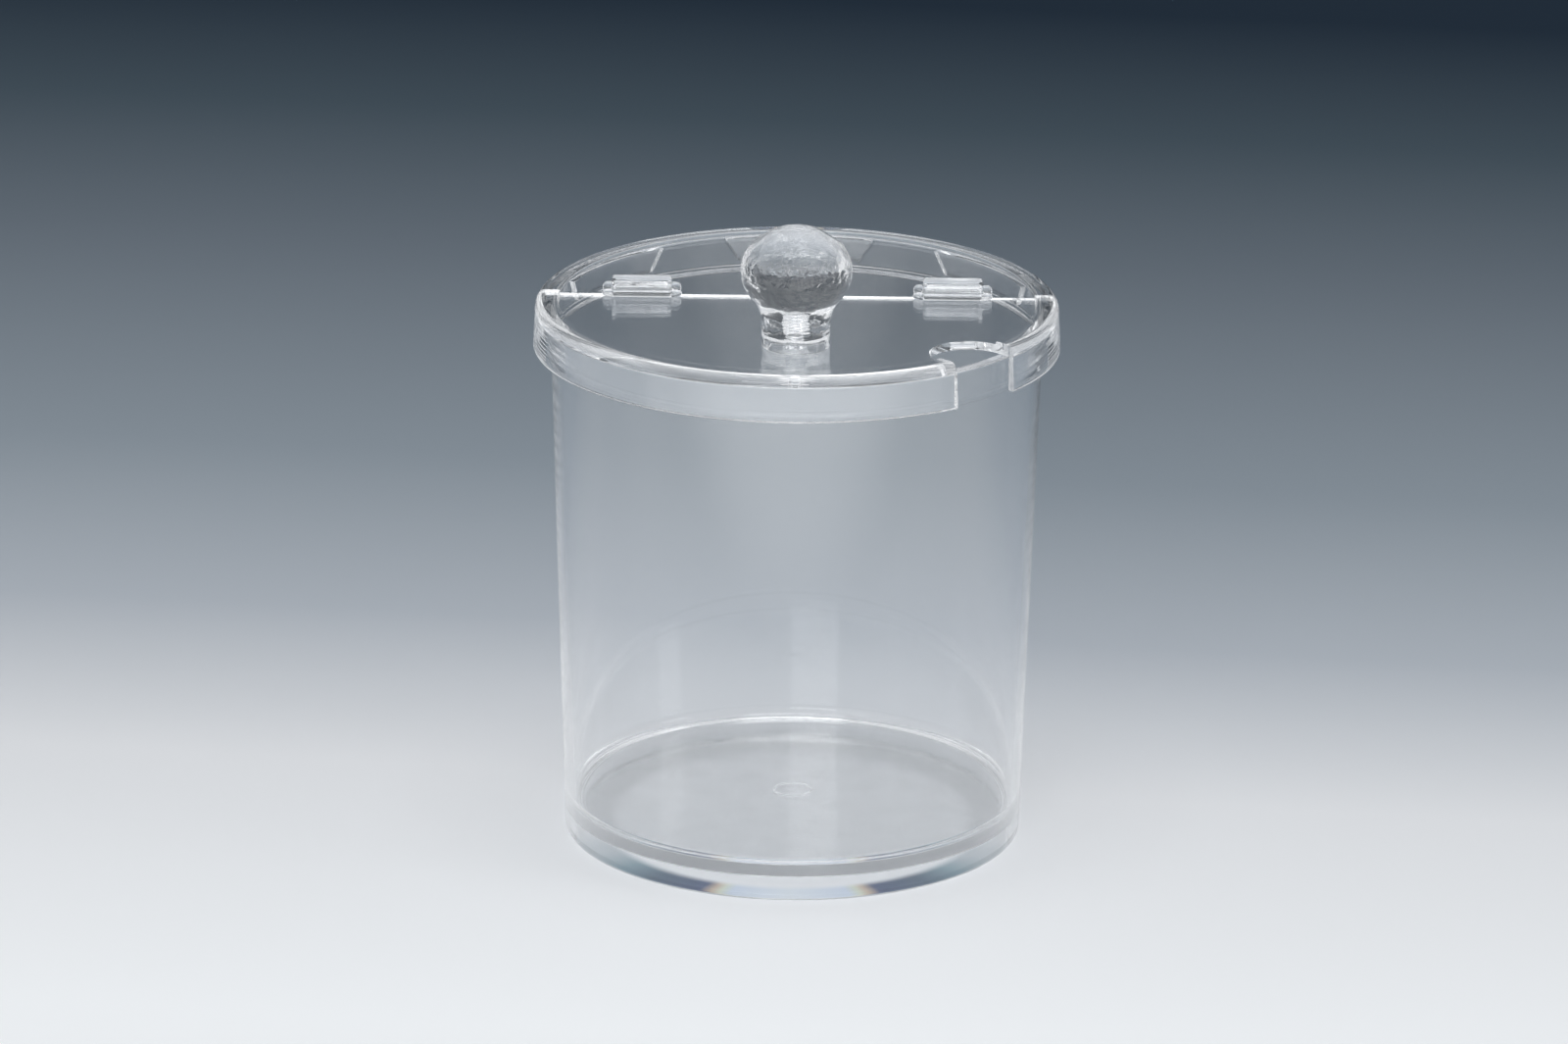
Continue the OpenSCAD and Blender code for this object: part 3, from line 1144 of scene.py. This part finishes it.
@dataclass(frozen=True)
class Softbox:
    """One soft lamp: where it stands, what it faces, its size and its brightness."""

    name: str
    place: tuple[float, float, float]
    aim: tuple[float, float, float]
    width: float
    height: float
    bright: float

    def build(self) -> bpy.types.Object:
        """Makes the lamp.

        Returns:
            The lamp, linked to the scene.
        """
        lamp = bpy.data.lights.new(self.name, "AREA")
        lamp.shape = "RECTANGLE"
        lamp.size, lamp.size_y = self.width, self.height
        lamp.energy = self.bright * math.pi * self.width * self.height
        made = Workshop.linked(self.name, lamp)
        made.location = self.place
        look = Vector(self.aim) - Vector(self.place)
        made.rotation_euler = look.to_track_quat("-Z", "Y").to_euler()
        made.visible_camera = False
        LOG.info("%s: %.1f W", self.name, lamp.energy)
        return made


@dataclass
class Studio:
    """Floor, lamps, world and camera.

    The floor's colour is a long sweep from pale, near the camera, to slate, far behind: painted shade
    for light that falls off with distance. Its front edge has a painted glow, given as emission, so that
    the clear walls mirror a pale room. A ring under the foot carries a painted shadow and the painted
    caustic colours that the thick plastic bends there.
    """

    floor_z: float = -0.0002
    floor_reach: float = 6.0
    distance: float = 2.333
    elevation: float = 18.36
    azimuth: float = 0.418
    roll: float = 0.54
    target: tuple[float, float, float] = (-0.002764, 0.0, 0.080247)
    focal_px: float = 9452.0
    sensor: float = 36.0
    clip_end: float = 30.0
    floor_rough: float = 0.85
    floor_shine: float = 0.1
    # Tilts the painted falloff across the floor, darker to the right, as painted shade of light from the
    # left.
    falloff_slope: float = 0.12
    # Floor colours by distance behind the jar: painted shade for the lamps' light falling off, pale to
    # slate.
    sweep: tuple[tuple[float, Colour], ...] = (
        (-0.60, (0.98, 0.985, 0.99)), (-0.15, (0.93, 0.945, 0.96)), (0.03, (0.77, 0.78, 0.80)),
        (0.15, (0.43, 0.465, 0.51)), (0.29, (0.255, 0.295, 0.335)), (0.50, (0.132, 0.160, 0.191)),
        (0.65, (0.054, 0.078, 0.100)), (0.80, (0.012, 0.024, 0.041)))
    lamps: tuple[Softbox, ...] = (
        Softbox("top_light", (0.0, -0.1, 1.3), (0.0, 0.0, 0.0), 0.6, 0.4, 3.0),
        Softbox("front_light", (-0.5, -2.6, 1.2), (0.0, 0.0, 0.1), 1.2, 1.0, 2.4),
        Softbox("side_light", (1.7, -0.6, 0.9), (0.0, 0.0, 0.1), 0.5, 1.0, 1.6))
    # Where the painted shadow and painted caustic colours lie in a ring on the floor under the foot.
    shade_ring: tuple[float, float] = (0.0438, 0.0545)
    shade_fade: tuple[float, float] = (0.004, 0.001)
    shade_front: float = -0.02
    back_shade: float = 0.18
    # Colours of the painted caustic and painted shadow, by side of the ring.
    painted_caustic: tuple[tuple[float, Colour], ...] = (
        (0.0, (0.72, 0.77, 0.82)), (0.28, (0.62, 0.69, 0.80)), (0.33, (0.66, 0.70, 0.60)),
        (0.37, (0.56, 0.46, 0.38)), (0.42, (0.09, 0.12, 0.21)), (0.64, (0.10, 0.145, 0.20)),
        (0.78, (0.22, 0.31, 0.36)), (0.91, (0.48, 0.52, 0.55)))
    # A painted glow: the floor's front part emits light, though it is no lamp.
    glow_from: float = -0.22
    glow_full: float = -0.36
    glow: float = 0.94
    tent: tuple[tuple[float, Colour], ...] = (
        (0.0, (0.045, 0.055, 0.065)), (1.0, (0.80, 0.815, 0.83)))
    tent_slope: float = 0.5
    tent_full: float = 0.5
    bounces: int = 128
    floor_bounces: int = 4

    def _floor(self) -> None:
        """Makes the floor, whose colour is painted pale in front and falls off to slate behind, as painted
        shade.
        """
        reach = self.floor_reach
        mesh = bpy.data.meshes.new("floor")
        corners = [(-reach, -reach), (reach, -reach), (reach, reach), (-reach, reach)]
        mesh.from_pydata([(x, y, self.floor_z) for x, y in corners], [], [(0, 1, 2, 3)])
        floor = Workshop.linked("floor", mesh)
        material = bpy.data.materials.new("sweep")
        material.use_nodes = True
        recipe = Recipe(material.node_tree)
        place = recipe.place()
        near, far = self.sweep[0][0], self.sweep[-1][0]
        # Painted shade: the floor's colour darkens with distance behind and to the right, as the light falls
        # off.
        away = recipe.part(place, "Y") + recipe.part(place, "X") * self.falloff_slope
        along = (away - near) / (far - near)
        stops = [((y - near) / (far - near), colour) for y, colour in self.sweep]
        swept = recipe.node("ShaderNodeValToRGB", {"stops": stops}, {0: along})
        # Painted glow on the floor's front part, given as emission.
        glow = recipe.part(place, "Y").stretch(self.glow_from, self.glow_full)
        surface = recipe.node("ShaderNodeBsdfPrincipled", values={
            "Base Color": self._painted_foot_shadow(recipe, place, swept), "Roughness": self.floor_rough,
            "Specular IOR Level": self.floor_shine, "Emission Color": recipe.grey(glow),
            "Emission Strength": self.glow})
        recipe.finish("ShaderNodeOutputMaterial", surface)
        mesh.materials.append(material)

    def _painted_foot_shadow(self, recipe: Recipe, place: Shade, colour: Shade) -> Shade:
        """Paints a shadow and caustic colours on the floor under the foot, where the thick ring of plastic
        bends the light away.

        Args:
            recipe: The floor's recipe.
            place: The point being shaded.
            colour: The floor's colour.

        Returns:
            The floor's colour with the painted shadow and painted caustic colours of the foot.
        """
        out = recipe.out(place)
        side = recipe.node("ShaderNodeMath", {"operation": "ABSOLUTE"}, {0: recipe.part(place, "X") / out})
        front = recipe.part(place, "Y").stretch(0.0, self.shade_front)
        (inner, outer), (fade_in, fade_out) = self.shade_ring, self.shade_fade
        ring = out.stretch(inner, inner + fade_in) * out.stretch(outer + fade_out, outer)
        bent = recipe.node("ShaderNodeValToRGB", {"stops": self.painted_caustic}, {0: side})
        # Painted shadow and painted caustic colours on the front of the ring.
        shaded = recipe.mixed(ring * front, colour, bent)
        # Painted shadow behind: the back of the ring is darkened toward black.
        behind = ring * (1.0 - front) * self.back_shade
        return recipe.mixed(behind, shaded, (0.0, 0.0, 0.0, 1.0))

    def _world(self) -> None:
        """Makes the world a soft white tent above and in front, open to dim slate low behind."""
        world = bpy.data.worlds.new("studio")
        world.use_nodes = True
        bpy.context.scene.world = world
        recipe = Recipe(world.node_tree)
        toward = recipe.place()
        height = recipe.part(toward, "Z") - recipe.part(toward, "Y") * self.tent_slope
        level = height.stretch(0.0, self.tent_full)
        colour = recipe.node("ShaderNodeValToRGB", {"stops": self.tent}, {0: level})
        surface = recipe.node("ShaderNodeBackground", values={"Color": colour})
        recipe.finish("ShaderNodeOutputWorld", surface)

    def _camera(self) -> None:
        """Sets the camera at the photograph's viewing angle."""
        camera = bpy.data.cameras.new("camera")
        camera.sensor_width = self.sensor
        camera.lens = self.focal_px * self.sensor / PHOTO_WIDTH
        camera.clip_end = self.clip_end
        made = Workshop.linked("camera", camera)
        up, around = math.radians(self.elevation), math.radians(self.azimuth)
        outward = Vector((math.sin(around) * math.cos(up), -math.cos(around) * math.cos(up), math.sin(up)))
        across = Vector((0, 0, 1)).cross(outward).normalized()
        turn = Matrix((across, outward.cross(across), outward)).transposed()
        lean = Matrix.Rotation(math.radians(self.roll), 3, "Z")
        made.matrix_world = Matrix.Translation(Vector(self.target) + outward * self.distance) @ (
            turn @ lean).to_4x4()
        bpy.context.scene.camera = made

    def build(self) -> None:
        """Builds the studio and sets how light is followed through clear plastic."""
        scene = bpy.context.scene
        scene.view_settings.view_transform = "Standard"
        scene.cycles.max_bounces = self.bounces
        scene.cycles.transmission_bounces = self.bounces
        scene.cycles.glossy_bounces = self.bounces
        scene.cycles.diffuse_bounces = self.floor_bounces
        scene.cycles.blur_glossy = 0.0
        scene.cycles.caustics_reflective = True
        scene.cycles.caustics_refractive = True
        self._camera()
        self._floor()
        self._world()
        for lamp in self.lamps:
            lamp.build()


def main() -> None:
    """Builds the jar, the lid and the knob in the studio."""
    logging.basicConfig(level=logging.INFO, format="%(name)s: %(message)s")
    Studio().build()
    Jar().build()
    lid, thread = Lid(), Thread()
    RearLid(lid).build()
    FrontFlap(lid, thread).build()
    Knob(lid, thread).build()


if __name__ == "__main__":
    main()
